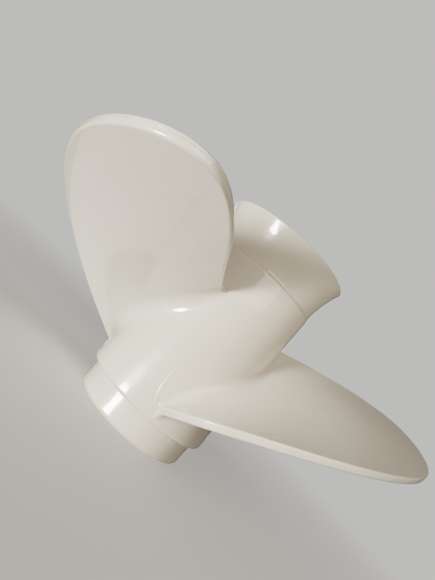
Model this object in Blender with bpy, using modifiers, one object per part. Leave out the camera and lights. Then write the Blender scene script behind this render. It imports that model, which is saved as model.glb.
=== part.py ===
"""Outboard propeller: three cast blades on a through-hub exhaust hub, in metres.

The shaft axis is +Z. The part stands on the front rim of its collar at z = 0 and the flared
exhaust end is at the top. Every blade surface is a helicoid with a linear rake.
"""

import math

import bmesh
import bpy

MM = 0.001

# Nominal size: 215.9 mm across the blade tips, 190.5 mm pitch
PITCH = 190.5 * MM
GAP = 0.3 * MM

# Outside of the hub
COLLAR_RADIUS = 26.7 * MM
COLLAR_LENGTH = 11.2 * MM
COLLAR_BORE = 23.4 * MM
COLLAR_ROUNDING = 2.0 * MM
BARREL_FRONT_RADIUS = 29.75 * MM
BARREL_REAR_RADIUS = 27.75 * MM
BARREL_REAR = 81.9 * MM
BARREL_WALL = 2.7 * MM
BARREL_LIP = 4.0 * MM
BARREL_ROUNDING = 1.5 * MM
FLARE_NECK_RADIUS = 27.35 * MM
FLARE_RIM_RADIUS = 30.5 * MM
FLARE_REAR = 100.5 * MM
FLARE_POWER = 2.1
FLARE_WALL = 2.4 * MM
FLARE_ROUNDING = 0.7 * MM

# Inside of the hub
HUB_OUTER = 17.3 * MM
HUB_BORE = 14.4 * MM
HUB_FRONT = 8.0 * MM
HUB_REAR = 83.5 * MM
RIB_THICKNESS = 4.0 * MM
RIB_FRONT = 20.0 * MM
RIB_REAR = 79.0 * MM
BUSHING_FRONT = 18.0 * MM
BUSHING_REAR = 74.0 * MM
SLEEVE_OUTER = 9.5 * MM
SLEEVE_FRONT = 6.0 * MM
SLEEVE_REAR = 86.0 * MM
SPLINE_MAJOR = 8.0 * MM
SPLINE_MINOR = 6.9 * MM
SPLINE_TEETH = 8
END_CHAMFER = 0.8 * MM

# Blades
BLADE_COUNT = 3
FIRST_BLADE_ANGLE = math.radians(220.1)
HELIX_RISE = PITCH / (2.0 * math.pi)
BLADE_CENTRE_HEIGHT = 49.35 * MM
BLADE_RAKE = 0.172
RAKE_RADIUS = 30.0 * MM
EDGE_THICKNESS = 3.4 * MM
ROOT_THICKNESS = 6.4 * MM
EDGE_ROUNDING = 1.1 * MM
SUCTION_FILLET = 6.0 * MM
PRESSURE_FILLET = 5.5 * MM
END_FILLET = 0.3

# Blade outline from the leading edge's root over the tip to the trailing edge's root:
# angle along the blade in degrees, radius in mm, as control points of a cubic B-spline
OUTLINE_CONTROLS = (
    (-62.1, 28.8), (-53.5, 44.6), (-36.6, 59.1), (-17.3, 76.8), (-1.4, 93.6), (9.8, 105.2),
    (25.0, 109.8), (34.0, 102.5), (36.1, 83.1), (35.5, 56.4), (30.2, 26.8),
)

ROUND_STEPS = 96
FLARE_STATIONS = 7
BLADE_ROWS = 26
BLADE_COLUMNS = 16
ROOT_CAP_COLUMNS = 6
ROW_CROWDING = 1.6
SPINE_END_RADIUS = 84.0 * MM


def clear_scene():
    """Remove what the start-up file holds."""
    for item in list(bpy.data.objects):
        bpy.data.objects.remove(item, do_unlink=True)


def make_collection(name):
    """A new collection under the scene's own."""
    collection = bpy.data.collections.new(name)
    bpy.context.scene.collection.children.link(collection)
    return collection


def make_material(name, colour, roughness, metallic):
    """A Principled material of one colour."""
    material = bpy.data.materials.new(name)
    material.use_nodes = True
    shader = material.node_tree.nodes["Principled BSDF"]
    shader.inputs["Base Color"].default_value = (*colour, 1.0)
    shader.inputs["Roughness"].default_value = roughness
    shader.inputs["Metallic"].default_value = metallic
    return material


def add_object(name, mesh, collection, material=None):
    """Put a mesh in a collection as a named object."""
    item = bpy.data.objects.new(name, mesh)
    collection.objects.link(item)
    if material:
        mesh.materials.append(material)
    return item


def shade(mesh, angle=30.0):
    """Smooth shading with sharp edges past an angle in degrees."""
    mesh.shade_smooth()
    mesh.set_sharp_from_angle(angle=math.radians(angle))


def corner_arc(centre, radius, start, end, count=4):
    """Points of an arc in the radius and height plane, angles in degrees."""
    points = []
    for index in range(count + 1):
        angle = math.radians(start + (end - start) * index / count)
        points.append((centre[0] + radius * math.cos(angle), centre[1] + radius * math.sin(angle)))
    return points


def turned(name, profile, collection, material, steps=ROUND_STEPS):
    """A closed profile of radius and height, turned about Z with a Screw modifier."""
    mesh = bpy.data.meshes.new(name)
    vertices = [(radius, 0.0, height) for radius, height in profile]
    edges = [(index, (index + 1) % len(profile)) for index in range(len(profile))]
    mesh.from_pydata(vertices, edges, [])
    item = add_object(name, mesh, collection, material)
    screw = item.modifiers.new("Turn", "SCREW")
    screw.axis = "Z"
    screw.steps = steps
    screw.render_steps = steps
    screw.use_merge_vertices = True
    screw.merge_threshold = 0.00001
    screw.use_smooth_shade = True
    return item


def front_collar(collection, material):
    """Short ring that fits the gearcase, rounded at its front outside edge."""
    rear = COLLAR_LENGTH
    centre = (COLLAR_RADIUS - COLLAR_ROUNDING, COLLAR_ROUNDING)
    profile = [(COLLAR_RADIUS, rear)]
    profile += corner_arc(centre, COLLAR_ROUNDING, 0.0, -90.0, 5)
    profile += [(COLLAR_BORE, 0.0), (COLLAR_BORE, rear)]
    return turned("front_collar", profile, collection, material)


def barrel_radius(height):
    """Outer radius of the tapered barrel at a height."""
    share = (height - COLLAR_LENGTH) / (BARREL_REAR - COLLAR_LENGTH)
    return BARREL_FRONT_RADIUS + (BARREL_REAR_RADIUS - BARREL_FRONT_RADIUS) * share


def hub_barrel(collection, material):
    """Tapered outer tube with an inward lip at its front, where the collar joins it."""
    front = COLLAR_LENGTH + GAP
    rear = BARREL_REAR
    lip_rear = front + BARREL_LIP
    centre = (barrel_radius(front) - BARREL_ROUNDING, front + BARREL_ROUNDING)
    profile = [(BARREL_REAR_RADIUS, rear)]
    profile += corner_arc(centre, BARREL_ROUNDING, 0.0, -90.0, 4)
    profile += [
        (COLLAR_BORE, front),
        (COLLAR_BORE, lip_rear),
        (barrel_radius(lip_rear) - BARREL_WALL, lip_rear + BARREL_WALL),
        (BARREL_REAR_RADIUS - BARREL_WALL, rear),
    ]
    return turned("hub_barrel", profile, collection, material)


def flare_radius(share):
    """Outer radius of the flared end, 0 at its neck and 1 at its rim."""
    return FLARE_NECK_RADIUS + (FLARE_RIM_RADIUS - FLARE_NECK_RADIUS) * share ** FLARE_POWER


def flare_ring(collection, material):
    """Rear ring that widens to the exhaust outlet."""
    front = BARREL_REAR + GAP
    length = FLARE_REAR - front
    shoulder = FLARE_REAR - FLARE_ROUNDING
    centre = (FLARE_RIM_RADIUS - FLARE_ROUNDING, shoulder)
    stations = [index / FLARE_STATIONS for index in range(FLARE_STATIONS)]
    outside = [(flare_radius(share), front + share * length) for share in stations]
    inside = [(radius - FLARE_WALL, height) for radius, height in outside]
    inside_rim = FLARE_RIM_RADIUS - FLARE_WALL
    profile = corner_arc(centre, FLARE_ROUNDING, 90.0, 0.0, 4)
    profile += outside[::-1]
    profile += inside
    profile += [(inside_rim, FLARE_REAR)]
    return turned("flare_ring", profile, collection, material)


def inner_hub(collection, material):
    """Tube that holds the rubber bushing."""
    profile = [
        (HUB_OUTER - END_CHAMFER, HUB_REAR),
        (HUB_OUTER, HUB_REAR - END_CHAMFER),
        (HUB_OUTER, HUB_FRONT + END_CHAMFER),
        (HUB_OUTER - END_CHAMFER, HUB_FRONT),
        (HUB_BORE, HUB_FRONT),
        (HUB_BORE, HUB_REAR),
    ]
    return turned("inner_hub", profile, collection, material)


def rubber_bushing(collection, material):
    """Rubber ring between the inner hub and the sleeve."""
    outer = HUB_BORE - GAP
    inner = SLEEVE_OUTER + GAP
    profile = [
        (outer - END_CHAMFER, BUSHING_REAR),
        (outer, BUSHING_REAR - END_CHAMFER),
        (outer, BUSHING_FRONT + END_CHAMFER),
        (outer - END_CHAMFER, BUSHING_FRONT),
        (inner, BUSHING_FRONT),
        (inner, BUSHING_REAR),
    ]
    return turned("rubber_bushing", profile, collection, material)


def spline_cutter(collection):
    """Extruded outline of the shaft's splines, longer than the sleeve."""
    tooth = 2.0 * math.pi / SPLINE_TEETH
    outline = []
    for index in range(SPLINE_TEETH):
        start = index * tooth
        for share, radius in ((0.0, SPLINE_MINOR), (0.25, SPLINE_MINOR), (0.5, SPLINE_MINOR),
                              (0.55, SPLINE_MAJOR), (0.75, SPLINE_MAJOR), (0.95, SPLINE_MAJOR)):
            angle = start + share * tooth
            outline.append((radius * math.cos(angle), radius * math.sin(angle)))
    curve = bpy.data.curves.new("spline_cutter", "CURVE")
    curve.dimensions = "2D"
    curve.fill_mode = "BOTH"
    curve.extrude = (SLEEVE_REAR - SLEEVE_FRONT) / 2 + 2 * MM
    spline = curve.splines.new("POLY")
    spline.points.add(len(outline) - 1)
    for point, (x, y) in zip(spline.points, outline):
        point.co = (x, y, 0.0, 1.0)
    spline.use_cyclic_u = True
    guide = bpy.data.objects.new("spline_guide", curve)
    collection.objects.link(guide)
    bpy.context.view_layer.update()
    mesh = bpy.data.meshes.new_from_object(guide.evaluated_get(bpy.context.evaluated_depsgraph_get()))
    bpy.data.objects.remove(guide, do_unlink=True)
    solid = bmesh.new()
    solid.from_mesh(mesh)
    bmesh.ops.remove_doubles(solid, verts=solid.verts, dist=0.000001)
    bmesh.ops.recalc_face_normals(solid, faces=solid.faces)
    solid.to_mesh(mesh)
    solid.free()
    cutter = add_object("spline_cutter", mesh, collection)
    cutter.location = (0.0, 0.0, (SLEEVE_FRONT + SLEEVE_REAR) / 2)
    cutter.hide_render = True
    cutter.display_type = "WIRE"
    return cutter


def splined_sleeve(collection, cutters, material):
    """Metal sleeve with a chamfer at each end and a splined bore."""
    core = SPLINE_MINOR - 1.0 * MM
    profile = [
        (SLEEVE_OUTER - END_CHAMFER, SLEEVE_REAR),
        (SLEEVE_OUTER, SLEEVE_REAR - END_CHAMFER),
        (SLEEVE_OUTER, SLEEVE_FRONT + END_CHAMFER),
        (SLEEVE_OUTER - END_CHAMFER, SLEEVE_FRONT),
        (core, SLEEVE_FRONT),
        (core, SLEEVE_REAR),
    ]
    item = turned("splined_sleeve", profile, collection, material, steps=64)
    cut = item.modifiers.new("Splines", "BOOLEAN")
    cut.operation = "DIFFERENCE"
    cut.object = spline_cutter(cutters)
    return item


def rib(index, collection, material):
    """Web from the inner hub to the barrel, one behind the middle of each blade root."""
    inner = HUB_OUTER + GAP
    outer = barrel_radius(RIB_REAR) - BARREL_WALL - GAP
    outer_front = barrel_radius(RIB_FRONT) - BARREL_WALL - GAP
    half = RIB_THICKNESS / 2
    reach = math.sqrt(outer ** 2 - half ** 2)
    reach_front = math.sqrt(outer_front ** 2 - half ** 2)
    name = "rib_%d" % (index + 1)
    mesh = bpy.data.meshes.new(name)
    solid = bmesh.new()
    bmesh.ops.create_cube(solid, size=1.0)
    for vertex in solid.verts:
        rear = vertex.co.z > 0
        far = reach if rear else reach_front
        vertex.co.x = far if vertex.co.x > 0 else inner
        vertex.co.y = half if vertex.co.y > 0 else -half
        vertex.co.z = RIB_REAR if rear else RIB_FRONT
    solid.to_mesh(mesh)
    solid.free()
    item = add_object(name, mesh, collection, material)
    item.rotation_euler.z = FIRST_BLADE_ANGLE + index * 2.0 * math.pi / BLADE_COUNT
    return item


def spline_point(controls, place):
    """Point of a clamped cubic B-spline, by de Boor's rule, at a place from 0 to 1."""
    degree = 3
    spans = len(controls) - degree
    knots = [0.0] * degree + [index / spans for index in range(spans + 1)] + [1.0] * degree
    span = min(int(place * spans), spans - 1) + degree
    points = [controls[span - degree + index] for index in range(degree + 1)]
    for level in range(1, degree + 1):
        for index in range(degree, level - 1, -1):
            low = knots[span - degree + index]
            high = knots[index + 1 + span - level]
            share = (place - low) / (high - low)
            before = points[index - 1]
            after = points[index]
            points[index] = tuple(a + (b - a) * share for a, b in zip(before, after))
    return points[degree]


def outline_point(place):
    """Angle in radians and radius in metres on the blade's outline."""
    angle, radius = spline_point(OUTLINE_CONTROLS, place)
    return math.radians(angle), radius * MM


def inset_point(place, depth):
    """Outline point moved inwards over the blade surface by a depth in metres."""
    angle, radius = outline_point(place)
    before = outline_point(max(place - 0.001, 0.0))
    after = outline_point(min(place + 0.001, 1.0))
    stretch = math.hypot(radius, HELIX_RISE)
    along = (after[0] - before[0]) * stretch
    up = after[1] - before[1]
    size = math.hypot(along, up)
    inward = (angle + depth * up / size / stretch, radius - depth * along / size)
    return inward


def tip_place():
    """Place on the outline where its radius is greatest."""
    best = 0.0
    for index in range(2001):
        place = index / 2000
        if outline_point(place)[1] > outline_point(best)[1]:
            best = place
    return best


def blade_point(angle, radius, offset, azimuth):
    """Point at a height of offset above the helicoid, measured on its own cylinder."""
    tilt = math.atan2(HELIX_RISE, radius)
    turn = azimuth + angle - math.sin(tilt) * offset / radius
    height = BLADE_CENTRE_HEIGHT + HELIX_RISE * angle + BLADE_RAKE * (radius - RAKE_RADIUS)
    height += math.cos(tilt) * offset
    return turn, radius, height


def fillet_height(rise, radius):
    """Extra half thickness of a root fillet at a rise above the barrel."""
    if rise >= radius:
        return 0.0
    rise = max(rise, 0.0)
    return radius - math.sqrt(radius ** 2 - (radius - rise) ** 2)


def half_thickness(angle, radius, crown, side):
    """Half thickness of the blade: crown is 0 at the edges and 1 in the middle."""
    surface_height = BLADE_CENTRE_HEIGHT + HELIX_RISE * angle
    rise = radius - barrel_radius(surface_height) - GAP
    share = min(rise / (SPINE_END_RADIUS - BARREL_FRONT_RADIUS), 1.0)
    core = ROOT_THICKNESS + (EDGE_THICKNESS * 1.15 - ROOT_THICKNESS) * max(share, 0.0)
    thickness = EDGE_THICKNESS + (core - EDGE_THICKNESS) * crown
    fillet = PRESSURE_FILLET if side > 0 else SUCTION_FILLET
    spread = END_FILLET + (1.0 - END_FILLET) * crown
    return thickness / 2 + fillet_height(rise, fillet) * spread


def root_place(start, end):
    """Place between start and end where the outline leaves the barrel."""
    low, high = start, end
    for _ in range(40):
        middle = (low + high) / 2
        angle, radius = outline_point(middle)
        floor = barrel_radius(BLADE_CENTRE_HEIGHT + HELIX_RISE * angle) + GAP
        if radius < floor:
            low = middle
        else:
            high = middle
    return high


def blade_row(row, ends, azimuth, side):
    """One row of points across the blade, from the leading to the trailing edge."""
    lead_root, tip, trail_root = ends
    share = (row / BLADE_ROWS) ** ROW_CROWDING
    leading = lead_root + (tip - lead_root) * share
    trailing = trail_root + (tip - trail_root) * share
    root_angle = (outline_point(lead_root)[0] + outline_point(trail_root)[0]) / 2
    root_radius = barrel_radius(BLADE_CENTRE_HEIGHT + HELIX_RISE * root_angle) + GAP
    turned_share = 1.0 - (1.0 - share) ** 3
    spine = (root_angle + (outline_point(tip)[0] - root_angle) * turned_share,
             root_radius + (SPINE_END_RADIUS - root_radius) * share)
    lead_in = inset_point(leading, EDGE_ROUNDING)
    trail_in = inset_point(trailing, EDGE_ROUNDING)
    flat = []
    flat.append((outline_point(leading), 0.0, EDGE_ROUNDING))
    flat.append((inset_point(leading, EDGE_ROUNDING * 0.3), 0.0, EDGE_ROUNDING * 0.29))
    for column in range(BLADE_COLUMNS + 1):
        v = column / BLADE_COLUMNS
        bulge = 4.0 * v * (1.0 - v)
        middle = ((lead_in[0] + trail_in[0]) / 2, (lead_in[1] + trail_in[1]) / 2)
        angle = lead_in[0] + (trail_in[0] - lead_in[0]) * v + (spine[0] - middle[0]) * bulge
        radius = lead_in[1] + (trail_in[1] - lead_in[1]) * v + (spine[1] - middle[1]) * bulge
        flat.append(((angle, radius), bulge, 0.0))
    flat.append((inset_point(trailing, EDGE_ROUNDING * 0.3), 0.0, EDGE_ROUNDING * 0.29))
    flat.append((outline_point(trailing), 0.0, EDGE_ROUNDING))
    points = []
    for (angle, radius), crown, drop in flat:
        offset = side * (half_thickness(angle, radius, crown, side) - drop)
        turn, reach, height = blade_point(angle, radius, offset, azimuth)
        floor = barrel_radius(height) + GAP
        reach = floor if row == 0 else max(reach, floor + 0.02 * MM)
        points.append((reach * math.cos(turn), reach * math.sin(turn), height))
    return points


def root_cap(pressure, suction):
    """Points between the two root rows that follow the barrel at the gap's distance."""
    columns = []
    for step in range(1, ROOT_CAP_COLUMNS):
        share = step / ROOT_CAP_COLUMNS
        line = []
        for one, other in zip(pressure, suction):
            height = one[2] + (other[2] - one[2]) * share
            start = math.atan2(one[1], one[0])
            turn = math.atan2(other[1], other[0]) - start
            turn = (turn + math.pi) % (2.0 * math.pi) - math.pi
            angle = start + turn * share
            reach = barrel_radius(height) + GAP
            line.append((reach * math.cos(angle), reach * math.sin(angle), height))
        columns.append(line)
    return columns


def grid_faces(solid, rows):
    """Quads between neighbouring rows of vertices."""
    for lower, upper in zip(rows, rows[1:]):
        for index in range(len(lower) - 1):
            solid.faces.new((lower[index], lower[index + 1], upper[index + 1], upper[index]))


def blade(index, collection, material):
    """One blade with its root fillets, lofted row by row and closed along the barrel."""
    azimuth = FIRST_BLADE_ANGLE + index * 2.0 * math.pi / BLADE_COUNT
    tip = tip_place()
    ends = (root_place(0.0, tip), tip, root_place(1.0, tip))
    solid = bmesh.new()
    sides = {}
    for side in (1, -1):
        rows = [blade_row(row, ends, azimuth, side) for row in range(BLADE_ROWS + 1)]
        sides[side] = [[solid.verts.new(point) for point in row] for row in rows]
        grid_faces(solid, sides[side])
    for end in (0, -1):
        grid_faces(solid, [[row[end] for row in sides[1]], [row[end] for row in sides[-1]]])
    pressure = sides[1][0]
    suction = sides[-1][0]
    columns = root_cap([tuple(vertex.co) for vertex in pressure], [tuple(vertex.co) for vertex in suction])
    cap = [pressure] + [[solid.verts.new(point) for point in line] for line in columns] + [suction]
    grid_faces(solid, cap)
    bmesh.ops.remove_doubles(solid, verts=solid.verts, dist=0.000001)
    for end in (0, -1):
        rim = [line[end] for line in cap if line[end].is_valid]
        solid.faces.new(rim)
    bmesh.ops.dissolve_degenerate(solid, edges=solid.edges, dist=0.000001)
    bmesh.ops.recalc_face_normals(solid, faces=solid.faces)
    name = "blade_%d" % (index + 1)
    mesh = bpy.data.meshes.new(name)
    solid.to_mesh(mesh)
    solid.free()
    shade(mesh, 40.0)
    return add_object(name, mesh, collection, material)


def build():
    """Make every part of the propeller."""
    clear_scene()
    parts = make_collection("outboard_propeller")
    cutters = make_collection("cutters")
    paint = make_material("white_paint", (0.72, 0.70, 0.62), 0.25, 0.0)
    cast = make_material("painted_inside", (0.60, 0.58, 0.52), 0.45, 0.0)
    rubber = make_material("black_rubber", (0.02, 0.02, 0.02), 0.8, 0.0)
    bronze = make_material("bronze", (0.55, 0.38, 0.18), 0.35, 1.0)
    front_collar(parts, paint)
    hub_barrel(parts, paint)
    flare_ring(parts, paint)
    inner_hub(parts, cast)
    rubber_bushing(parts, rubber)
    splined_sleeve(parts, cutters, bronze)
    for index in range(BLADE_COUNT):
        blade(index, parts, paint)
        rib(index, parts, cast)


build()
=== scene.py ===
"""Looks of the outboard propeller: white-painted casting, rubber bushing and splined sleeve.

Everything is in metres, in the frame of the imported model: +Z is the shaft axis, and the part
stands on the front rim of its collar at z = 0.
"""

import math

import bmesh
import bpy
import numpy as np
from mathutils import Matrix, Vector


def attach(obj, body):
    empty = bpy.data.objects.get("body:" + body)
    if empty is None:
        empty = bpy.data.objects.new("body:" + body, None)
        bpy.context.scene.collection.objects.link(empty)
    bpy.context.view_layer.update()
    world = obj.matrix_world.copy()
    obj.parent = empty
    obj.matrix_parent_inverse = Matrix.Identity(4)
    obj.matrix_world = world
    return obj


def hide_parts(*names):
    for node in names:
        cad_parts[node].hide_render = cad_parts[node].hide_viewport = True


MM = 0.001

# Camera that the photograph was fitted with, in the photograph's own pixels
IMAGE_WIDTH = 435
IMAGE_HEIGHT = 580
CAMERA_ELEVATION = -0.0802
CAMERA_ROLL = -0.7583
CAMERA_DISTANCE = 198.2309 * MM
CAMERA_TARGET = Vector((0.0, 0.0, 56.25 * MM))
TARGET_PIXEL = (219.084, 322.4657)
FOCAL_PIXELS = 452.4363
SENSOR_WIDTH = 36.0

# Hub, as in the part's source
COLLAR_RADIUS = 26.7 * MM
COLLAR_LENGTH = 11.2 * MM
COLLAR_BORE = 23.4 * MM
COLLAR_ROUNDING = 2.0 * MM
BARREL_FRONT_RADIUS = 29.75 * MM
BARREL_REAR_RADIUS = 27.75 * MM
BARREL_REAR = 81.9 * MM
BARREL_WALL = 2.7 * MM
BARREL_LIP = 4.0 * MM
BARREL_ROUNDING = 1.5 * MM
FLARE_NECK_RADIUS = 27.35 * MM
FLARE_RIM_RADIUS = 30.5 * MM
FLARE_REAR = 100.5 * MM
FLARE_POWER = 2.1
FLARE_WALL = 2.4 * MM
FLARE_ROUNDING = 0.7 * MM
HUB_OUTER = 17.3 * MM
HUB_BORE = 14.4 * MM
HUB_FRONT = 8.0 * MM
HUB_REAR = 83.5 * MM
RIB_THICKNESS = 4.0 * MM
RIB_FRONT = 20.0 * MM
RIB_REAR = 79.0 * MM
BUSHING_FRONT = 18.0 * MM
BUSHING_REAR = 74.0 * MM
SLEEVE_OUTER = 9.5 * MM
SLEEVE_FRONT = 6.0 * MM
SLEEVE_REAR = 86.0 * MM
SPLINE_MAJOR = 8.0 * MM
SPLINE_MINOR = 6.9 * MM
SPLINE_TEETH = 8

# Blades, as in the part's source
BLADE_COUNT = 3
FIRST_BLADE_ANGLE = math.radians(220.1)
HELIX_RISE = 190.5 * MM / (2.0 * math.pi)
BLADE_CENTRE_HEIGHT = 49.35 * MM
BLADE_RAKE = 0.172
RAKE_RADIUS = 30.0 * MM
EDGE_THICKNESS = 3.4 * MM
ROOT_THICKNESS = 6.4 * MM
OUTLINE_CONTROLS = (
    (-62.1, 28.8), (-53.5, 44.6), (-36.6, 59.1), (-17.3, 76.8), (-1.4, 93.6), (9.8, 105.2),
    (25.0, 109.8), (34.0, 102.5), (36.1, 83.1), (35.5, 56.4), (30.2, 26.8),
)
SPINE_END_RADIUS = 84.0 * MM
FOLD_RADIUS = 99.0 * MM

# Finer shape of the casting
OUTLINE_SHRINK = 0.999
LEADING_ROUNDINGS = (0.75 * MM, 1.0 * MM)
TRAILING_ROUNDINGS = (2.0 * MM, 1.0 * MM)
SUCTION_FILLET = 5.7 * MM
PRESSURE_FILLET = 5.5 * MM
TRAILING_PRESSURE_FILLET = 2.4 * MM
END_FILLET = 2.4 * MM
LEADING_FLARES = (0.6 * MM, 2.6 * MM)
TRAILING_FLARES = (0.5 * MM, 2.8 * MM)
PARTING_SHARE = 0.32
PARTING_DEPTH = 0.09 * MM
RIDGE_HEIGHT = 0.32 * MM
RIDGE_WIDTH = 0.5 * MM
RIDGE_SLOPE = 3.0 * MM

# Parting ridge on the barrel from a leading root: degrees from the blade's middle, height in mm
RIDGE_PATH = (
    (-64.9, 17.7), (-66.6, 18.4), (-68.4, 19.4), (-69.8, 20.5), (-71.1, 22.4), (-72.1, 24.7),
    (-72.5, 27.6), (-73.0, 31.4), (-73.2, 34.0), (-73.6, 39.0),
)

# Crease on the barrel past each trailing root: its ends as above, and its size
CREASE_ENDS = ((30.6, 66.7), (37.8, 65.6))
CREASE_WIDTH = 0.22 * MM
CREASE_DEPTH = 0.3 * MM

# Angles round the barrel in degrees from a blade's middle, and the steps between them
BARREL_STOPS = ((-78.0, -58.0, 70), (-58.0, 29.0, 48), (29.0, 39.5, 40), (39.5, 42.0, 2))

# Colours
PAINT_LIGHT = (0.80, 0.768, 0.635)
PAINT_SHADE = (0.76, 0.722, 0.58)
PAINT_INSIDE = (0.62, 0.58, 0.465)
SPECK_COLOUR = (0.28, 0.25, 0.20)
PARTING_COLOUR = (0.36, 0.35, 0.34)
BACKDROP = (0.80, 0.79, 0.77)
AROUND_COLOUR = (1.0, 0.92, 0.83)
AROUND_STRENGTH = 0.17

BLADE_ROWS = 150
BLADE_COLUMNS = 96
ARC_STEPS = 6

# Points across the blade's edge, as shares of its width from the parting line
BAND_PLACES = (-0.2, -0.12, -0.09, -0.06, -0.03, -0.015, 0.0, 0.015, 0.03, 0.08, 0.2, 0.36, 0.52)
ROUND_STEPS = 480


def smoothstep(low, high, value):
    """0 below low, 1 above high, and smooth in between."""
    share = np.clip((value - low) / (high - low), 0.0, 1.0)
    return share * share * (3.0 - 2.0 * share)


def make_camera():
    """Camera at the photograph's place, turned about its own line of sight."""
    back = Vector((0.0, -math.cos(CAMERA_ELEVATION), math.sin(CAMERA_ELEVATION)))
    right = Vector((1.0, 0.0, 0.0))
    up = right.cross(-back)
    image_right = right * math.cos(CAMERA_ROLL) - up * math.sin(CAMERA_ROLL)
    image_up = up * math.cos(CAMERA_ROLL) + right * math.sin(CAMERA_ROLL)
    across = (TARGET_PIXEL[0] - IMAGE_WIDTH / 2) / FOCAL_PIXELS * CAMERA_DISTANCE
    above = (IMAGE_HEIGHT / 2 - TARGET_PIXEL[1]) / FOCAL_PIXELS * CAMERA_DISTANCE
    place = CAMERA_TARGET + back * CAMERA_DISTANCE - image_right * across - image_up * above
    data = bpy.data.cameras.new("camera")
    data.sensor_width = SENSOR_WIDTH
    data.lens = FOCAL_PIXELS / IMAGE_HEIGHT * SENSOR_WIDTH
    data.clip_start = 10 * MM
    camera = bpy.data.objects.new("camera", data)
    bpy.context.scene.collection.objects.link(camera)
    turn = Matrix((image_right, image_up, back)).transposed()
    camera.matrix_world = Matrix.Translation(place) @ turn.to_4x4()
    bpy.context.scene.camera = camera


def mesh_object(name, points, faces, material, wear=None, inside=None):
    """A smooth-shaded object from an array of points and a list of faces."""
    mesh = bpy.data.meshes.new(name)
    mesh.from_pydata(points.reshape(-1, 3).tolist(), [], faces.tolist())
    mesh.update()
    mesh.shade_smooth()
    for title, values in (("wear", wear), ("inside", inside)):
        attribute = mesh.attributes.new(title, "FLOAT", "POINT")
        if values is not None:
            attribute.data.foreach_set("value", values.astype(np.float32).ravel())
    mesh.materials.append(material)
    piece = bpy.data.objects.new(name, mesh)
    bpy.context.scene.collection.objects.link(piece)
    return piece


def grid_faces(rows, columns, close_rows=False, close_columns=False):
    """Quads of a grid of points, whose last row or column may join its first."""
    row = np.arange(rows if close_rows else rows - 1)
    column = np.arange(columns if close_columns else columns - 1)
    first, second = np.meshgrid(row, column, indexing="ij")
    next_row = (first + 1) % rows
    next_column = (second + 1) % columns
    corners = (first * columns + second, first * columns + next_column,
               next_row * columns + next_column, next_row * columns + second)
    return np.stack([corner.ravel() for corner in corners], axis=1)


def arc(centre, radius, start, end, count):
    """Points of an arc in the radius and height plane, angles in degrees."""
    angles = np.radians(np.linspace(start, end, count + 1))
    return np.stack([centre[0] + radius * np.cos(angles), centre[1] + radius * np.sin(angles)], axis=1)


def line(start, end, count):
    """Points of a straight line without its ends."""
    shares = np.linspace(0.0, 1.0, count + 2)[1:-1, None]
    return np.array(start) + (np.array(end) - np.array(start)) * shares


def turned_points(profile, angles):
    """Grid of points of a closed profile of radius and height, turned about Z to the angles."""
    radius = profile[:, 0][:, None]
    height = np.repeat(profile[:, 1][:, None], len(angles), axis=1)
    return np.stack([radius * np.cos(angles), radius * np.sin(angles), height], axis=2)


def turned_piece(name, profile, material, outer=None, steps=ROUND_STEPS):
    """A ring with the given closed profile. Points well inside the outer radius count as inside."""
    points = turned_points(profile, np.arange(steps) * 2.0 * math.pi / steps)
    inside = None
    if outer is not None:
        deep = smoothstep(0.8 * MM, 1.8 * MM, outer(profile[:, 1]) - profile[:, 0])
        inside = np.repeat(deep[:, None], steps, axis=1)
    faces = grid_faces(len(profile), steps, close_rows=True, close_columns=True)
    return mesh_object(name, points, faces, material, inside=inside)


def barrel_radius(height):
    """Outer radius of the tapered barrel at a height."""
    share = (height - COLLAR_LENGTH) / (BARREL_REAR - COLLAR_LENGTH)
    return BARREL_FRONT_RADIUS + (BARREL_REAR_RADIUS - BARREL_FRONT_RADIUS) * share


def spline_point(controls, place):
    """Point of a clamped cubic B-spline, by de Boor's rule, at a place from 0 to 1."""
    degree = 3
    spans = len(controls) - degree
    knots = [0.0] * degree + [index / spans for index in range(spans + 1)] + [1.0] * degree
    span = min(int(place * spans), spans - 1) + degree
    points = [controls[span - degree + index] for index in range(degree + 1)]
    for level in range(1, degree + 1):
        for index in range(degree, level - 1, -1):
            low = knots[span - degree + index]
            high = knots[index + 1 + span - level]
            share = (place - low) / (high - low)
            before = points[index - 1]
            after = points[index]
            points[index] = tuple(a + (b - a) * share for a, b in zip(before, after))
    return points[degree]


def outline_point(place):
    """Angle in radians and radius in metres on the blade's outline."""
    angle, radius = spline_point(OUTLINE_CONTROLS, place)
    return math.radians(angle), radius * MM * OUTLINE_SHRINK


def outline_inward(place):
    """Outline point, and the step in angle and radius that goes inwards by one metre."""
    angle, radius = outline_point(place)
    before = outline_point(max(place - 0.001, 0.0))
    after = outline_point(min(place + 0.001, 1.0))
    stretch = math.hypot(radius, HELIX_RISE)
    along = (after[0] - before[0]) * stretch
    up = after[1] - before[1]
    size = math.hypot(along, up)
    return (angle, radius), (up / size / stretch, -along / size)


def tip_place():
    """Place on the outline where its radius is greatest."""
    places = [index / 2000 for index in range(2001)]
    return max(places, key=lambda place: outline_point(place)[1])


def root_place(start, end):
    """Place between start and end where the outline leaves the barrel."""
    low, high = start, end
    for _ in range(40):
        middle = (low + high) / 2
        angle, radius = outline_point(middle)
        if radius < barrel_radius(BLADE_CENTRE_HEIGHT + HELIX_RISE * angle):
            low = middle
        else:
            high = middle
    return high


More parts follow.
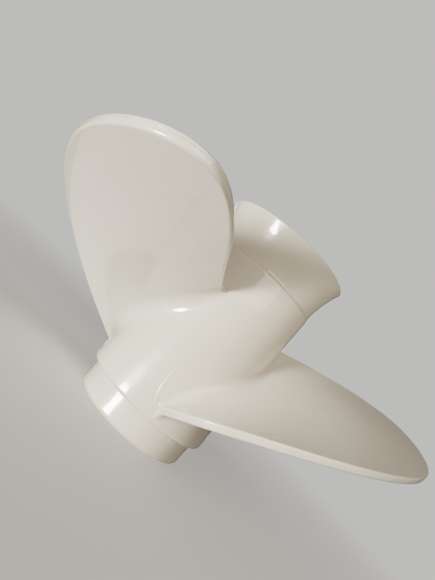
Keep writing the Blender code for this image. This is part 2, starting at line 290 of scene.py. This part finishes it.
def blade_surface(angle, radius, offset, azimuth):
    """Points at a height of offset above the helicoid, with the root fitted to the barrel."""
    tilt = np.arctan2(HELIX_RISE, radius)
    turn = azimuth + angle - np.sin(tilt) * offset / radius
    middle = BLADE_CENTRE_HEIGHT + HELIX_RISE * angle
    height = middle + BLADE_RAKE * (radius - RAKE_RADIUS) + np.cos(tilt) * offset
    rise = radius - barrel_radius(middle)
    shift = barrel_radius(height) - barrel_radius(middle)
    reach = radius + shift * (1.0 - smoothstep(0.0, 22 * MM, rise))
    return np.stack([reach * np.cos(turn), reach * np.sin(turn), height], axis=-1)


def fillet(rise, radius):
    """Extra half thickness of a root fillet at a rise above the barrel."""
    drop = np.clip(radius - np.maximum(rise, 0.0), 0.0, None)
    return radius - np.sqrt(np.maximum(radius ** 2 - drop ** 2, 0.0))


def side_fillet(share, side):
    """Radius of the root fillet along the chord, 0 at the leading and 1 at the trailing edge."""
    crown = 4.0 * share * (1.0 - share)
    if side > 0:
        broad = PRESSURE_FILLET + (TRAILING_PRESSURE_FILLET - PRESSURE_FILLET) * smoothstep(0.45, 0.85, share)
    else:
        broad = SUCTION_FILLET
    return END_FILLET + (broad - END_FILLET) * smoothstep(0.0, 0.75, crown)


def half_thickness(angle, radius, share, side):
    """Half thickness of the blade at a share of its chord, with its root fillet."""
    crown = 4.0 * share * (1.0 - share)
    rise = radius - barrel_radius(BLADE_CENTRE_HEIGHT + HELIX_RISE * angle)
    up = np.clip(rise / (SPINE_END_RADIUS - BARREL_FRONT_RADIUS), 0.0, 1.0)
    core = ROOT_THICKNESS + (EDGE_THICKNESS - ROOT_THICKNESS) * up
    thickness = EDGE_THICKNESS + (core - EDGE_THICKNESS) * crown
    return thickness / 2 + fillet(rise, side_fillet(share, side))


def end_flare(edge, radius):
    """Angle by which a fillet widens the blade at a point of its outline."""
    rise = max(edge[1] - barrel_radius(BLADE_CENTRE_HEIGHT + HELIX_RISE * edge[0]), 0.0)
    return float(fillet(rise, radius)) / math.hypot(edge[1], HELIX_RISE)


def blade_loop(row, ends, root_spine):
    """Angles, radii, offsets and wear of one closed row of points round the blade."""
    lead_root, tip, trail_root = ends
    share = (row / BLADE_ROWS) ** 2
    leading, lead_in = outline_inward(lead_root + (tip - lead_root) * share)
    trailing, trail_in = outline_inward(trail_root + (tip - trail_root) * share)
    tip_angle = outline_point(tip)[0]
    spine = (root_spine[0] + (tip_angle - root_spine[0]) * (1.0 - (1.0 - share) ** 3),
             root_spine[1] + (FOLD_RADIUS - root_spine[1]) * share)
    columns = 0.5 - 0.5 * np.cos(math.pi * np.linspace(0.0, 1.0, BLADE_COLUMNS + 1))
    columns = 0.6 * columns + 0.4 * np.linspace(0.0, 1.0, BLADE_COLUMNS + 1)
    bulge = 4.0 * columns * (1.0 - columns)
    halves = {}
    for index, side in enumerate((1, -1)):
        lead_flare = end_flare(leading, LEADING_FLARES[index])
        trail_flare = end_flare(trailing, TRAILING_FLARES[index])
        lead_rounding = LEADING_ROUNDINGS[index]
        trail_rounding = TRAILING_ROUNDINGS[index]
        trail_rounding += (lead_rounding - trail_rounding) * float(smoothstep(0.55, 1.0, row / BLADE_ROWS))
        first = (leading[0] + lead_in[0] * lead_rounding, leading[1] + lead_in[1] * lead_rounding)
        last = (trailing[0] + trail_in[0] * trail_rounding, trailing[1] + trail_in[1] * trail_rounding)
        middle = ((first[0] + last[0]) / 2, (first[1] + last[1]) / 2)
        angle = first[0] + (last[0] - first[0]) * columns + (spine[0] - middle[0]) * bulge
        radius = first[1] + (last[1] - first[1]) * columns + (spine[1] - middle[1]) * bulge
        turns = np.radians(np.linspace(0.0, 90.0, ARC_STEPS + 1)[1:])
        inset = 1.0 - np.sin(turns)
        drop = 1.0 - np.cos(turns)
        lead_angle = (leading[0] + lead_in[0] * inset * lead_rounding)[::-1]
        lead_radius = (leading[1] + lead_in[1] * inset * lead_rounding)[::-1]
        trail_angle = trailing[0] + trail_in[0] * inset * trail_rounding
        trail_radius = trailing[1] + trail_in[1] * inset * trail_rounding
        angle = np.concatenate([lead_angle, angle, trail_angle])
        radius = np.concatenate([lead_radius, radius, trail_radius])
        if row == 0:
            radius = barrel_radius(BLADE_CENTRE_HEIGHT + HELIX_RISE * angle)
        places = np.concatenate([np.zeros(ARC_STEPS), columns, np.ones(ARC_STEPS)])
        drops = np.concatenate([drop[::-1] * lead_rounding, np.zeros(BLADE_COLUMNS + 1), drop * trail_rounding])
        offset = side * (half_thickness(angle, radius, places, side) - drops)
        spread = trail_flare * places ** 8 - lead_flare * (1.0 - places) ** 8
        angle = angle + spread
        radius = radius + barrel_radius(HELIX_RISE * spread) - barrel_radius(0.0)
        halves[side] = (angle, radius, offset)
    return halves


def edge_band(first, last, beside, places, relief):
    """Points across the blade's edge from its pressure to its suction side, raised by the relief."""
    across = last - first
    out = first - beside
    out = out - across * (out @ across) / (across @ across + 1e-18)
    out = out / (np.linalg.norm(out) + 1e-12)
    return first + across * places[:, None] + out * relief[:, None]


def blade_points(azimuth):
    """Grid of closed rows round one blade, from its root to its tip, with the wear of each point."""
    tip = tip_place()
    ends = (root_place(0.0, tip), tip, root_place(1.0, tip))
    root_angle = (outline_point(ends[0])[0] + outline_point(ends[2])[0]) / 2
    root_spine = (root_angle, barrel_radius(BLADE_CENTRE_HEIGHT + HELIX_RISE * root_angle))
    rows = []
    worn = []
    band = PARTING_SHARE + np.array(BAND_PLACES)
    mark = np.exp(-(np.array(BAND_PLACES) / 0.03) ** 2)
    relief = PARTING_DEPTH * (0.5 * np.exp(-((np.array(BAND_PLACES) + 0.07) / 0.05) ** 2) - mark)
    for row in range(BLADE_ROWS + 1):
        halves = blade_loop(row, ends, root_spine)
        sheets = {side: blade_surface(*halves[side], azimuth) for side in halves}
        pressure = sheets[1]
        suction = sheets[-1]
        fade = smoothstep(0.05, 0.08, row / BLADE_ROWS) * (1.0 - smoothstep(0.97, 1.0, row / BLADE_ROWS))
        trail_band = edge_band(pressure[-1], suction[-1], sheets[1][-3], band, relief * fade)
        lead_band = edge_band(pressure[0], suction[0], sheets[1][2], band, relief * fade)[::-1]
        rows.append(np.concatenate([pressure, trail_band, suction[::-1], lead_band]))
        marks = np.zeros(len(rows[-1]))
        count = len(pressure)
        marks[count:count + len(band)] = mark * fade
        marks[-len(band):] = mark[::-1] * fade
        worn.append(marks)
    points = np.array(rows)
    root = points[0]
    sunk = 1.0 - 0.002 * MM / np.hypot(root[:, 0], root[:, 1])
    root[:, :2] *= sunk[:, None]
    return points, np.array(worn)


def weld_tip(mesh):
    """Join the points that the last row holds twice."""
    solid = bmesh.new()
    solid.from_mesh(mesh)
    bmesh.ops.remove_doubles(solid, verts=solid.verts, dist=0.000002)
    bmesh.ops.dissolve_degenerate(solid, edges=solid.edges, dist=0.000002)
    bmesh.ops.recalc_face_normals(solid, faces=solid.faces)
    solid.to_mesh(mesh)
    solid.free()


def blade_piece(index, material):
    """One blade with its root fillets and parting lines, welded shut at its tip."""
    points, wear = blade_points(FIRST_BLADE_ANGLE + index * 2.0 * math.pi / BLADE_COUNT)
    rows, columns = wear.shape
    faces = grid_faces(rows, columns, close_columns=True)
    name = "blade_%d_casting" % (index + 1)
    piece = mesh_object(name, points.reshape(-1, 3), faces, material, wear)
    weld_tip(piece.data)
    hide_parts("blade_%d" % (index + 1))
    return piece


def unrolled(path):
    """Points of a path on the barrel as distances round and along it."""
    return np.array([(math.radians(angle) * barrel_radius(level * MM), level * MM) for angle, level in path])


def ridge_distance(across, height):
    """Signed distance from the parting ridge, positive towards the blade, and the place along it."""
    nearest = np.full(across.shape, 1.0)
    along = np.zeros(across.shape)
    ridge = unrolled(RIDGE_PATH)
    for index, (start, end) in enumerate(zip(ridge, ridge[1:])):
        way = end - start
        share = ((across - start[0]) * way[0] + (height - start[1]) * way[1]) / (way @ way)
        share = np.clip(share, 0.0 if index else -1.0, 1.0)
        gap_across = across - start[0] - share * way[0]
        gap_up = height - start[1] - share * way[1]
        gap = np.hypot(gap_across, gap_up)
        side = np.where(way[0] * gap_up - way[1] * gap_across > 0.0, -1.0, 1.0)
        closer = gap < np.abs(nearest)
        nearest = np.where(closer, gap * side, nearest)
        along = np.where(closer, (index + share) / (len(ridge) - 1), along)
    return nearest, along


def crease_depth(across, height):
    """Depth of the crease past a trailing root."""
    start, end = unrolled(CREASE_ENDS)
    way = end - start
    share = np.clip(((across - start[0]) * way[0] + (height - start[1]) * way[1]) / (way @ way), 0.0, 1.0)
    gap = np.hypot(across - start[0] - share * way[0], height - start[1] - share * way[1])
    return CREASE_DEPTH * np.exp(-(gap / CREASE_WIDTH) ** 2) * (1.0 - smoothstep(0.55, 1.0, share))


def barrel_relief(points):
    """Raise the barrel's skin along each parting ridge and sink it along each crease."""
    azimuth = np.arctan2(points[..., 1], points[..., 0])
    radius = np.hypot(points[..., 0], points[..., 1])
    height = points[..., 2]
    outside = smoothstep(-0.6 * MM, -0.2 * MM, radius - barrel_radius(height))
    raised = np.zeros_like(height)
    for index in range(BLADE_COUNT):
        centre = FIRST_BLADE_ANGLE + index * 2.0 * math.pi / BLADE_COUNT
        turn = (azimuth - centre + math.pi) % (2.0 * math.pi) - math.pi
        gap, along = ridge_distance(turn * barrel_radius(height), height)
        flank = np.where(gap < 0.0, smoothstep(-RIDGE_WIDTH, 0.0, gap), np.exp(-np.maximum(gap, 0.0) / RIDGE_SLOPE))
        crest = np.exp(-(gap / (0.5 * RIDGE_WIDTH)) ** 2)
        fade = smoothstep(-0.04, 0.03, along) * (1.0 - smoothstep(0.35, 1.0, along))
        raised += RIDGE_HEIGHT * fade * (0.7 * flank + 0.3 * crest)
        raised -= crease_depth(turn * barrel_radius(height), height)
    factor = 1.0 + raised * outside / radius
    points[..., 0] *= factor
    points[..., 1] *= factor
    return points


def collar_piece(material):
    """Front collar: rounded front rim, fine turned edge at the rear."""
    rounding = COLLAR_ROUNDING
    outer = COLLAR_RADIUS
    bore = COLLAR_BORE
    rear = COLLAR_LENGTH
    profile = np.concatenate([
        [(outer - 0.25 * MM, rear)],
        [(outer - 0.07 * MM, rear - 0.07 * MM), (outer, rear - 0.25 * MM)],
        line((outer, rear - 0.25 * MM), (outer, rounding), 14),
        arc((outer - rounding, rounding), rounding, 0.0, -90.0, 12),
        line((outer - rounding, 0.0), (bore + 0.6 * MM, 0.0), 2),
        arc((bore + 0.6 * MM, 0.6 * MM), 0.6 * MM, -90.0, -180.0, 5),
        line((bore, 0.6 * MM), (bore, rear), 10),
        [(bore, rear)],
    ])
    piece = turned_piece("collar_casting", profile, material, lambda height: outer)
    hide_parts("front_collar")
    return piece


def barrel_piece(material):
    """Outer tube of the hub with its front lip and the parting ridges."""
    front = COLLAR_LENGTH + 0.05 * MM
    rear = BARREL_REAR
    rounding = BARREL_ROUNDING
    bore = COLLAR_BORE
    start = barrel_radius(front)
    skin_rear = (BARREL_REAR_RADIUS, rear - 0.15 * MM)
    skin_front = (start, front + rounding)
    levels = np.concatenate([np.linspace(skin_rear[1], 67.4 * MM, 16)[1:], np.linspace(67.4, 64.9, 22)[1:] * MM,
                             np.linspace(64.9, 41.0, 20)[1:] * MM, np.linspace(41.0, 15.5, 88)[1:] * MM,
                             np.linspace(15.5 * MM, skin_front[1], 6)[1:-1]])
    shares = (levels - skin_rear[1]) / (skin_front[1] - skin_rear[1])
    skin = np.stack([skin_rear[0] + (skin_front[0] - skin_rear[0]) * shares, levels], axis=1)
    lip_rear = front + BARREL_LIP
    inside = barrel_radius(lip_rear) - BARREL_WALL
    profile = np.concatenate([
        [(BARREL_REAR_RADIUS - 0.15 * MM, rear), skin_rear],
        skin,
        arc((start - rounding, front + rounding), rounding, 0.0, -90.0, 10),
        line((start - rounding, front), (bore, front), 3),
        [(bore, front)],
        line((bore, front), (bore, lip_rear), 3),
        [(bore, lip_rear)],
        line((bore, lip_rear), (inside, lip_rear + BARREL_WALL), 4),
        [(inside, lip_rear + BARREL_WALL)],
        line((inside, lip_rear + BARREL_WALL), (BARREL_REAR_RADIUS - BARREL_WALL, rear), 24),
        [(BARREL_REAR_RADIUS - BARREL_WALL, rear)],
    ])
    sector = np.concatenate([np.linspace(first, last, steps, endpoint=False) for first, last, steps in BARREL_STOPS])
    turns = FIRST_BLADE_ANGLE + np.arange(BLADE_COUNT) * 2.0 * math.pi / BLADE_COUNT
    angles = (turns[:, None] + np.radians(sector)).ravel()
    points = barrel_relief(turned_points(profile, angles))
    deep = smoothstep(0.8 * MM, 1.8 * MM, barrel_radius(profile[:, 1]) - profile[:, 0])
    inside = np.repeat(deep[:, None], len(angles), axis=1)
    faces = grid_faces(len(profile), len(angles), close_rows=True, close_columns=True)
    piece = mesh_object("barrel_casting", points, faces, material, inside=inside)
    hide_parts("hub_barrel")
    return piece


def flare_piece(material):
    """Rear ring that widens to the exhaust outlet, with a rounded rim."""
    front = BARREL_REAR + 0.06 * MM
    shoulder = FLARE_REAR - FLARE_ROUNDING
    shares = np.linspace(0.0, 1.0, 40)
    radius = FLARE_NECK_RADIUS + (FLARE_RIM_RADIUS - FLARE_NECK_RADIUS) * shares ** FLARE_POWER
    height = front + shares * (shoulder - front)
    outside = np.stack([radius, height], axis=1)
    inside = outside - np.array((FLARE_WALL, 0.0))
    rim = FLARE_RIM_RADIUS
    profile = np.concatenate([
        outside,
        arc((rim - FLARE_ROUNDING, shoulder), FLARE_ROUNDING, 0.0, 90.0, 6)[1:],
        line((rim - FLARE_ROUNDING, FLARE_REAR), (rim - FLARE_WALL + FLARE_ROUNDING, FLARE_REAR), 1),
        arc((rim - FLARE_WALL + FLARE_ROUNDING, shoulder), FLARE_ROUNDING, 90.0, 180.0, 6)[:-1],
        inside[::-1],
    ])
    piece = turned_piece("flare_casting", profile, material, lambda height: np.interp(height, outside[:, 1], radius))
    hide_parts("flare_ring")
    return piece


def inner_tube_profile():
    """Profile of the tube round the bushing, with rounded ends."""
    front = HUB_FRONT
    rear = HUB_REAR
    outer = HUB_OUTER
    bore = HUB_BORE
    rounding = 0.9 * MM
    return np.concatenate([
        arc((outer - rounding, rear - rounding), rounding, 90.0, 0.0, 6),
        line((outer, rear - rounding), (outer, front + rounding), 40),
        arc((outer - rounding, front + rounding), rounding, 0.0, -90.0, 6),
        arc((bore + rounding, front + rounding), rounding, -90.0, -180.0, 6),
        line((bore, front + rounding), (bore, rear - rounding), 40),
        arc((bore + rounding, rear - rounding), rounding, 180.0, 90.0, 6),
    ])


def web_points(azimuth):
    """Grid of one web from the inner tube to the barrel, flared into both with fillets."""
    flare = 2.6 * MM
    half = RIB_THICKNESS / 2
    rounding = 1.6 * MM
    inner = HUB_OUTER - 0.2 * MM
    stations = 0.5 - 0.5 * np.cos(math.pi * np.linspace(0.0, 1.0, 31))
    rows = []
    for share in stations:
        outer = BARREL_REAR_RADIUS - BARREL_WALL + 0.5 * MM
        reach = inner + (outer - inner) * share
        spread = fillet(np.array(reach - HUB_OUTER), flare) + fillet(np.array(outer - reach - 0.4 * MM), flare)
        wide = half + spread
        front = RIB_FRONT - spread
        rear = RIB_REAR + spread
        corners = (((wide - rounding, rear - rounding), 0.0), ((-wide + rounding, rear - rounding), 90.0),
                   ((-wide + rounding, front + rounding), 180.0), ((wide - rounding, front + rounding), 270.0))
        ring = []
        for index, (centre, start) in enumerate(corners):
            ring.append(arc(centre, rounding, start, start + 90.0, 5))
            after = corners[(index + 1) % 4]
            first = ring[-1][-1]
            last = arc(after[0], rounding, after[1], after[1], 1)[0]
            ring.append(line(first, last, 30 if index % 2 else 4))
        ring = np.concatenate(ring)
        taper = np.clip((barrel_radius(ring[:, 1]) - BARREL_REAR_RADIUS) * share, 0.0, None)
        rows.append(np.stack([reach + taper, ring[:, 0], ring[:, 1]], axis=1))
    points = np.array(rows)
    turned = points.copy()
    turned[..., 0] = points[..., 0] * math.cos(azimuth) - points[..., 1] * math.sin(azimuth)
    turned[..., 1] = points[..., 0] * math.sin(azimuth) + points[..., 1] * math.cos(azimuth)
    return turned


def inner_pieces(material):
    """The tube round the bushing and the three webs that carry it."""
    tube = turned_piece("inner_tube_casting", inner_tube_profile(), material, steps=240)
    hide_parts("inner_hub")
    pieces = [tube]
    for index in range(BLADE_COUNT):
        points = web_points(FIRST_BLADE_ANGLE + index * 2.0 * math.pi / BLADE_COUNT)
        faces = grid_faces(points.shape[0], points.shape[1], close_columns=True)
        web = mesh_object("web_%d_casting" % (index + 1), points, faces, material)
        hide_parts("rib_%d" % (index + 1))
        pieces.append(web)
    return pieces


def bushing_piece(material):
    """Moulded rubber ring with a shallow trough in each end face."""
    outer = HUB_BORE - 0.02 * MM
    inner = SLEEVE_OUTER + 0.02 * MM
    front = BUSHING_FRONT
    rear = BUSHING_REAR
    shares = np.linspace(0.0, 1.0, 25)
    radius = outer + (inner - outer) * shares
    trough = 1.5 * MM * (4.0 * shares * (1.0 - shares)) ** 0.8
    trough += 0.25 * MM * np.exp(-((shares - 0.5) / 0.06) ** 2)
    profile = np.concatenate([
        np.stack([radius, rear - trough], axis=1),
        line((inner, rear), (inner, front), 30),
        np.stack([radius[::-1], front + trough[::-1]], axis=1),
        line((outer, front), (outer, rear), 30),
    ])
    piece = turned_piece("bushing_rubber", profile, material, steps=240)
    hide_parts("rubber_bushing")
    return piece


def sleeve_piece(material):
    """Turned sleeve with chamfered ends and a splined bore."""
    steps = SPLINE_TEETH * 36
    angles = np.arange(steps) * 2.0 * math.pi / steps
    tooth = angles / (2.0 * math.pi) * SPLINE_TEETH % 1.0
    groove = smoothstep(0.48, 0.56, tooth) * (1.0 - smoothstep(0.94, 1.0, tooth))
    bore = SPLINE_MINOR + (SPLINE_MAJOR - SPLINE_MINOR) * groove
    front = SLEEVE_FRONT
    rear = SLEEVE_REAR
    outer = SLEEVE_OUTER
    bevel = 0.7 * MM
    rows = []
    for level in (rear, rear - bevel * 0.5, rear - bevel):
        rows.append((np.full(steps, outer - bevel + (rear - level)), level))
    for level in np.linspace(rear - bevel - 0.2 * MM, front + bevel + 0.2 * MM, 40):
        rows.append((np.full(steps, outer), level))
    for level in (front + bevel, front + bevel * 0.5, front):
        rows.append((np.full(steps, outer - bevel + (level - front)), level))
    mouth = SPLINE_MAJOR + 0.3 * MM
    for level in (front, front + 0.4 * MM, front + 0.8 * MM, front + 1.2 * MM, front + 1.6 * MM):
        rows.append((np.maximum(bore, mouth - (level - front)), level))
    for level in np.linspace(front + 2.0 * MM, rear - 2.0 * MM, 40):
        rows.append((bore, level))
    for level in (rear - 1.6 * MM, rear - 1.2 * MM, rear - 0.8 * MM, rear - 0.4 * MM, rear):
        rows.append((np.maximum(bore, mouth - (rear - level)), level))
    points = np.array([np.stack([reach * np.cos(angles), reach * np.sin(angles), np.full(steps, level)], axis=1)
                       for reach, level in rows])
    faces = grid_faces(len(rows), steps, close_rows=True, close_columns=True)
    piece = mesh_object("sleeve_bronze", points, faces, material)
    piece.data.set_sharp_from_angle(angle=math.radians(32.0))
    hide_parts("splined_sleeve")
    return piece


class Shading:
    """A Principled material and short ways to add procedural nodes to it."""

    def __init__(self, name):
        self.material = bpy.data.materials.new(name)
        self.material.use_nodes = True
        self.nodes = self.material.node_tree.nodes
        self.links = self.material.node_tree.links
        self.shader = self.nodes["Principled BSDF"]
        self.place = self.nodes.new("ShaderNodeTexCoord").outputs["Object"]

    def constant(self, socket, value):
        """Set one of the shader's own sockets."""
        self.shader.inputs[socket].default_value = value

    def stretched(self, across, along):
        """Coordinates scaled across and along the shaft."""
        node = self.nodes.new("ShaderNodeMapping")
        node.inputs["Scale"].default_value = (across, across, along)
        self.links.new(self.place, node.inputs["Vector"])
        return node.outputs["Vector"]

    def noise(self, scale, detail, place=None):
        """Noise with that many features a metre."""
        node = self.nodes.new("ShaderNodeTexNoise")
        node.inputs["Scale"].default_value = scale
        node.inputs["Detail"].default_value = detail
        self.links.new(place or self.place, node.inputs["Vector"])
        return node.outputs["Fac"]

    def spots(self, scale, size):
        """Rare round spots, 1 inside and 0 outside, about size wide against their cells."""
        node = self.nodes.new("ShaderNodeTexVoronoi")
        node.inputs["Scale"].default_value = scale
        self.links.new(self.place, node.inputs["Vector"])
        near = self.spread(node.outputs["Distance"], size * 0.7, size, 1.0, 0.0)
        parts = self.nodes.new("ShaderNodeSeparateColor")
        self.links.new(node.outputs["Color"], parts.inputs["Color"])
        chosen = self.spread(parts.outputs["Red"], 0.90, 0.92, 0.0, 1.0)
        return self.product(near, chosen)

    def spread(self, source, low, high, first, last):
        """Map a value from one range to another and clamp it."""
        node = self.nodes.new("ShaderNodeMapRange")
        node.inputs["From Min"].default_value = low
        node.inputs["From Max"].default_value = high
        node.inputs["To Min"].default_value = first
        node.inputs["To Max"].default_value = last
        self.links.new(source, node.inputs["Value"])
        return node.outputs["Result"]

    def combine(self, operation, first, second):
        """A Math node of two values."""
        node = self.nodes.new("ShaderNodeMath")
        node.operation = operation
        for value, socket in ((first, node.inputs[0]), (second, node.inputs[1])):
            if isinstance(value, float):
                socket.default_value = value
            else:
                self.links.new(value, socket)
        return node.outputs["Value"]

    def product(self, first, second):
        """Two values multiplied."""
        return self.combine("MULTIPLY", first, second)

    def mark(self, name):
        """A value that the mesh carries."""
        node = self.nodes.new("ShaderNodeAttribute")
        node.attribute_name = name
        return node.outputs["Fac"]

    def mix(self, factor, first, second):
        """Two colours mixed."""
        node = self.nodes.new("ShaderNodeMix")
        node.data_type = "RGBA"
        self.links.new(factor, node.inputs["Factor"])
        for value, socket in ((first, node.inputs[6]), (second, node.inputs[7])):
            if isinstance(value, tuple):
                socket.default_value = (*value, 1.0)
            else:
                self.links.new(value, socket)
        return node.outputs[2]

    def bump(self, height, distance):
        """Bump the surface by a height from 0 to 1 times a distance in metres."""
        node = self.nodes.new("ShaderNodeBump")
        node.inputs["Distance"].default_value = distance
        self.links.new(height, node.inputs["Height"])
        self.links.new(node.outputs["Normal"], self.shader.inputs["Normal"])

    def feed(self, source, socket):
        """Link a value to one of the shader's sockets."""
        self.links.new(source, self.shader.inputs[socket])


def paint_material(name, gloss, rough_cast):
    """Off-white paint: glossy outside, and duller on the rough casting inside the hub."""
    paint = Shading(name)
    paint.constant("Coat Weight", gloss)
    paint.constant("Coat Roughness", 0.04)
    inside = paint.mark("inside")
    if rough_cast:
        inside = paint.combine("ADD", inside, 1.0)
    cloud = paint.noise(30.0, 3.0)
    tone = paint.mix(paint.spread(cloud, 0.35, 0.65, 0.0, 1.0), PAINT_SHADE, PAINT_LIGHT)
    tone = paint.mix(paint.product(paint.spread(paint.noise(260.0, 4.0), 0.35, 0.75, 0.15, 0.75), inside), tone,
                     PAINT_INSIDE)
    tone = paint.mix(paint.product(paint.spots(330.0, 0.045), 0.6), tone, SPECK_COLOUR)
    tone = paint.mix(paint.product(paint.spots(140.0, 0.025), 0.8), tone, SPECK_COLOUR)
    broken = paint.spread(paint.noise(260.0, 3.0), 0.34, 0.5, 0.15, 1.0)
    tone = paint.mix(paint.product(paint.mark("wear"), broken), tone, PARTING_COLOUR)
    paint.feed(tone, "Base Color")
    dull = paint.product(inside, 0.25)
    paint.feed(paint.combine("ADD", paint.spread(cloud, 0.3, 0.7, 0.2, 0.3), dull), "Roughness")
    peel = paint.combine("ADD", paint.noise(380.0, 2.0), paint.product(paint.noise(95.0, 2.0), 1.6))
    grit = paint.product(paint.product(paint.noise(1300.0, 4.0), inside), 3.0)
    paint.bump(paint.combine("ADD", peel, grit), 0.000045)
    return paint.material


def rubber_material():
    """Black moulded rubber, dusty in places."""
    rubber = Shading("moulded_rubber")
    rubber.constant("Specular IOR Level", 0.35)
    dust = rubber.spread(rubber.noise(160.0, 5.0), 0.45, 0.8, 0.0, 0.7)
    rubber.feed(rubber.mix(dust, (0.018, 0.018, 0.019), (0.06, 0.057, 0.052)), "Base Color")
    rubber.feed(rubber.spread(rubber.noise(240.0, 3.0), 0.3, 0.7, 0.6, 0.85), "Roughness")
    rubber.bump(rubber.noise(2600.0, 3.0), 0.00006)
    return rubber.material


def bronze_material():
    """Turned bronze with tool marks round the sleeve and a dull oxide film."""
    bronze = Shading("turned_bronze")
    bronze.constant("Metallic", 1.0)
    film = bronze.spread(bronze.noise(120.0, 5.0), 0.4, 0.7, 0.0, 0.8)
    bronze.feed(bronze.mix(film, (0.60, 0.42, 0.20), (0.33, 0.22, 0.11)), "Base Color")
    marks = bronze.noise(1.0, 2.0, bronze.stretched(30.0, 4200.0))
    bronze.feed(bronze.spread(marks, 0.3, 0.7, 0.24, 0.42), "Roughness")
    bronze.bump(marks, 0.00004)
    return bronze.material


def area_light(name, place, target, size, power, colour=(1.0, 1.0, 1.0), height=None):
    """A soft rectangular light aimed at a point."""
    data = bpy.data.lights.new(name, "AREA")
    data.shape = "RECTANGLE"
    data.size = size
    data.size_y = height or size
    data.energy = power
    data.color = colour
    lamp = bpy.data.objects.new(name, data)
    bpy.context.scene.collection.objects.link(lamp)
    lamp.location = place
    lamp.rotation_euler = (Vector(target) - Vector(place)).to_track_quat("-Z", "Y").to_euler()
    return lamp


def make_world():
    """Studio with a pale backdrop behind the part and dim warm surroundings for its shading."""
    world = bpy.data.worlds.new("studio")
    world.use_nodes = True
    nodes = world.node_tree.nodes
    links = world.node_tree.links
    around = nodes["Background"]
    around.inputs["Color"].default_value = (*AROUND_COLOUR, 1.0)
    around.inputs["Strength"].default_value = AROUND_STRENGTH
    behind = nodes.new("ShaderNodeBackground")
    behind.inputs["Color"].default_value = (*BACKDROP, 1.0)
    seen = nodes.new("ShaderNodeLightPath")
    blend = nodes.new("ShaderNodeMixShader")
    links.new(seen.outputs["Is Camera Ray"], blend.inputs["Fac"])
    links.new(around.outputs["Background"], blend.inputs[1])
    links.new(behind.outputs["Background"], blend.inputs[2])
    links.new(blend.outputs["Shader"], nodes["World Output"].inputs["Surface"])
    bpy.context.scene.world = world


def make_floor():
    """Pale floor that fades into the backdrop. It throws no shadow, so low light comes through."""
    material = bpy.data.materials.new("floor")
    material.use_nodes = True
    nodes = material.node_tree.nodes
    links = material.node_tree.links
    shader = nodes["Principled BSDF"]
    shader.inputs["Base Color"].default_value = (0.8, 0.8, 0.79, 1.0)
    shader.inputs["Roughness"].default_value = 0.9
    shader.inputs["Specular IOR Level"].default_value = 0.1
    glow = nodes.new("ShaderNodeEmission")
    glow.inputs["Color"].default_value = (*BACKDROP, 1.0)
    place = nodes.new("ShaderNodeTexCoord")
    length = nodes.new("ShaderNodeVectorMath")
    length.operation = "LENGTH"
    links.new(place.outputs["Object"], length.inputs[0])
    fade = nodes.new("ShaderNodeMapRange")
    fade.interpolation_type = "SMOOTHSTEP"
    fade.inputs["From Min"].default_value = 0.05
    fade.inputs["From Max"].default_value = 0.5
    fade.inputs["To Min"].default_value = 0.35
    links.new(length.outputs["Value"], fade.inputs["Value"])
    blend = nodes.new("ShaderNodeMixShader")
    links.new(fade.outputs["Result"], blend.inputs["Fac"])
    links.new(shader.outputs["BSDF"], blend.inputs[1])
    links.new(glow.outputs["Emission"], blend.inputs[2])
    links.new(blend.outputs["Shader"], nodes["Material Output"].inputs["Surface"])
    angles = np.arange(96) * 2.0 * math.pi / 96
    rim = np.stack([40.0 * np.cos(angles), 40.0 * np.sin(angles), np.zeros(96)], axis=1)
    mesh = bpy.data.meshes.new("floor")
    mesh.from_pydata(rim.tolist(), [], [list(range(96))])
    mesh.materials.append(material)
    floor = bpy.data.objects.new("floor", mesh)
    floor.visible_shadow = False
    floor.visible_glossy = False
    floor.visible_diffuse = False
    bpy.context.scene.collection.objects.link(floor)


def lamp(name, azimuth, elevation, distance, width, height, radiance, colour=(1.0, 1.0, 1.0)):
    """A soft rectangular light seen from the part's middle in a given direction, in degrees."""
    turn = math.radians(azimuth)
    rise = math.radians(elevation)
    way = Vector((math.cos(turn) * math.cos(rise), math.sin(turn) * math.cos(rise), math.sin(rise)))
    place = way * distance + Vector((0.0, 0.0, 0.03))
    power = radiance * math.pi * width * height
    area_light(name, place, (0.0, 0.0, 0.03), width, power, colour, height)


def make_stage():
    """World, floor and lights."""
    make_world()
    make_floor()
    lamp("window", -131.0, -15.0, 1.2, 0.27, 0.25, 165.0, (1.0, 0.98, 0.90))
    lamp("front", -72.0, 30.0, 1.3, 0.9, 0.9, 4.4, (1.0, 0.84, 0.70))
    lamp("rear", 95.0, -40.0, 1.3, 0.9, 0.9, 1.9, (1.0, 0.86, 0.72))
    lamp("back", 92.0, 8.0, 1.5, 1.2, 1.0, 2.4, (1.0, 0.95, 0.90))


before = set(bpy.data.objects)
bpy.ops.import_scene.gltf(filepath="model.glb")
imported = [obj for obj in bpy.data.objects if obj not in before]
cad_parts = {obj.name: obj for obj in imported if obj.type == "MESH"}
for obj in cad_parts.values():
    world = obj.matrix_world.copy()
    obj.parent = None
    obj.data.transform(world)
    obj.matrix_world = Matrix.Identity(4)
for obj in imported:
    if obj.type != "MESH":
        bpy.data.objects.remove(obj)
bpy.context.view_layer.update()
make_camera()

paint = paint_material("glossy_paint", 1.0, False)
cast = paint_material("cast_paint", 0.1, True)
casting = [collar_piece(paint), barrel_piece(paint), flare_piece(paint)]
casting += [blade_piece(index, paint) for index in range(BLADE_COUNT)]
finishes = (
    ("white_paint", casting),
    ("painted_inside", inner_pieces(cast)),
    ("black_rubber", [bushing_piece(rubber_material())]),
    ("bronze", [sleeve_piece(bronze_material())]),
)
for slot, pieces in finishes:
    for piece in pieces:
        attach(piece, "root")

make_stage()
